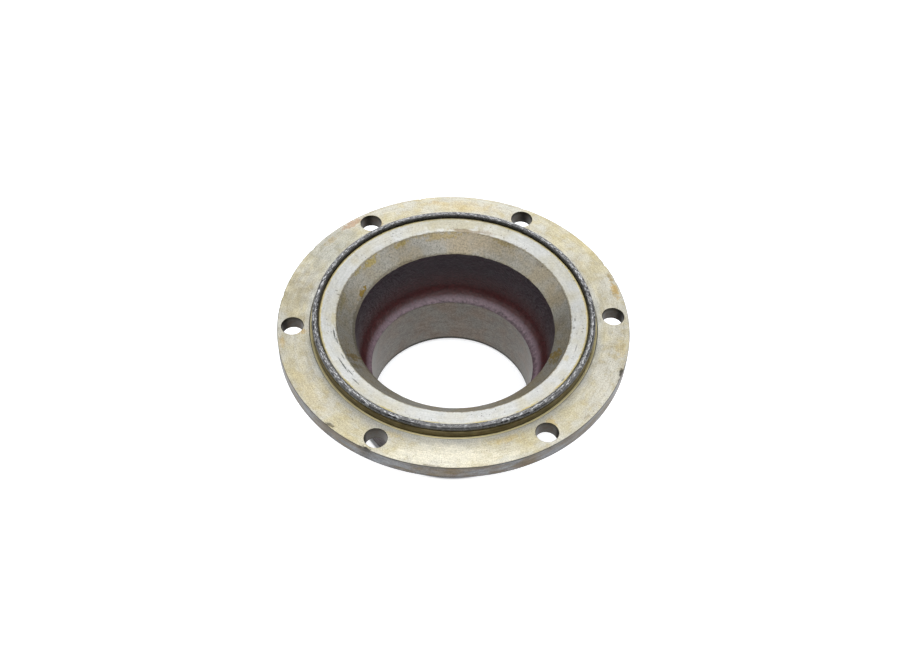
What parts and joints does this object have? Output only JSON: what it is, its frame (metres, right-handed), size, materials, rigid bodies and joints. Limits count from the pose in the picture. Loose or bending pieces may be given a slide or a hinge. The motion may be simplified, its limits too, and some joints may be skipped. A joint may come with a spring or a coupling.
{
  "type": "bearing cap flange",
  "caption": "Round bolted cast-iron bearing cap with a short spigot, a rubber sealing ring round its nose, a cored pocket and a bored hub.",
  "frame": {"origin": "centre of the flange face that seats on the housing, on the turned axis", "axes": "+Z along the turned axis, out of the flange face towards the spigot and the sealing ring; the hub hangs along -Z; +X is the side to which the cored pocket lies a little off the axis"},
  "size_m": [0.162, 0.162, 0.0668],
  "materials": {
    "grey_cast_iron": "turned, oiled and lightly stained",
    "black_rubber": "moulded, greasy"
  },
  "bodies": {
    "root": {"flange_casting": "grey_cast_iron", "sealing_ring": "black_rubber"}
  },
  "joints": []
}
